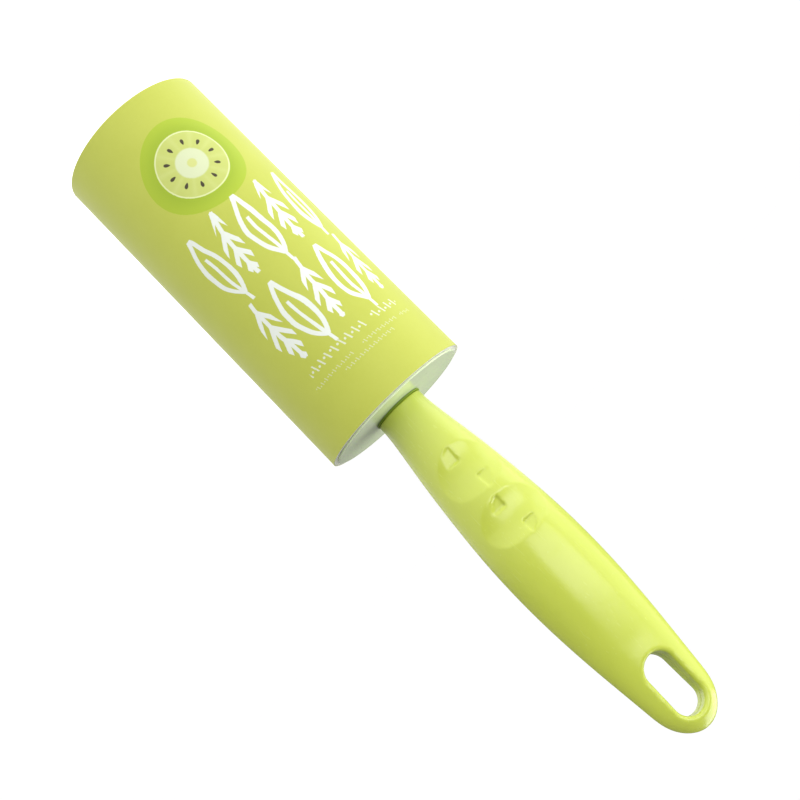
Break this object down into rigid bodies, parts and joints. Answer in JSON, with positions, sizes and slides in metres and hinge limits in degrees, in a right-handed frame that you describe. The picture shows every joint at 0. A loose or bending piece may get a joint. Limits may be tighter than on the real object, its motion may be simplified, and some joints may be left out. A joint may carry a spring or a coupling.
{
  "type": "lint roller",
  "caption": "Hand-held lint roller: a paper-wrapped roll of sticky sheets on a spinning spool, with an oval moulded handle that has thumb dishes and an oblong hang hole.",
  "frame": {"origin": "centre of the roll's free end face, the face on which the roller stands", "axes": "+Z along the rod from the roll towards the handle; -Y is the handle's front, with the thumb dishes; +X across the handle's broad side"},
  "size_m": [0.0432, 0.0432, 0.2072],
  "materials": {
    "handle_plastic": "glossy, slightly translucent lime-green moulded plastic",
    "rod_steel": "drawn bright steel",
    "washer_plastic": "dark green nylon",
    "fastener_steel": "zinc-plated spring steel",
    "spool_plastic": "glossy mint-white moulded plastic",
    "cap_plastic": "glossy mint-white moulded plastic",
    "cardboard": "spiral-wound cardboard",
    "sticky_paper": "white adhesive-coated paper",
    "wrapper_paper": "lime-green printed paper with a fine tooth"
  },
  "bodies": {
    "handle": {"handle_front_shell": "handle_plastic", "handle_back_shell": "handle_plastic", "axle_rod": "rod_steel", "rod_cross_pin": "rod_steel", "neck_washer": "washer_plastic", "end_washer": "fastener_steel", "push_nut": "fastener_steel"},
    "spool": {"near_flange": "spool_plastic", "core_cage": "spool_plastic", "far_hub": "spool_plastic", "end_cap": "cap_plastic"},
    "refill": {"core_tube": "cardboard", "sheet_roll": "sticky_paper", "outer_sheet": "sticky_paper", "paper_wrapper": "wrapper_paper"}
  },
  "joints": [
    {"name": "spool_spin", "type": "hinge", "parent": "handle", "child": "spool", "pos_m": [0, 0, 0.05], "axis": [0, 0, 1], "continuous": true},
    {"name": "refill_slide", "type": "slide", "parent": "spool", "child": "refill", "axis": [0, 0, -1], "range_m": [0, 0.105]}
  ]
}
